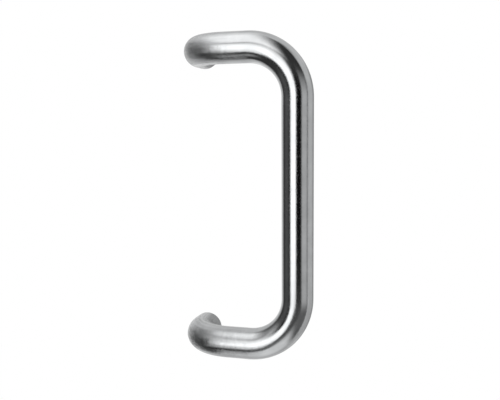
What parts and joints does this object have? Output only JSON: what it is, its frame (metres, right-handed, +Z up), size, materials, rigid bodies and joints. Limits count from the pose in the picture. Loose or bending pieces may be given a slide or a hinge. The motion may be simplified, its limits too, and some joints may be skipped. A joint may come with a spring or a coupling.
{
  "type": "door pull handle",
  "caption": "Cranked pull handle bent from round satin stainless tube, with threaded inserts in its ends for bolting it through a door.",
  "frame": {"origin": "on the door face, midway between the two fixing holes", "axes": "+Z up along the grip, +Y into the door, +X towards the side that the grip is cranked to"},
  "size_m": [0.1458, 0.0679, 0.3318],
  "materials": {
    "satin_stainless": "satin polished stainless, with the fine grain running round the tube",
    "insert_steel": "turned stainless, faced flush with the tube's rim"
  },
  "bodies": {
    "root": {"handle_tube": "satin_stainless", "upper_fixing_insert": "insert_steel", "lower_fixing_insert": "insert_steel"}
  },
  "joints": []
}
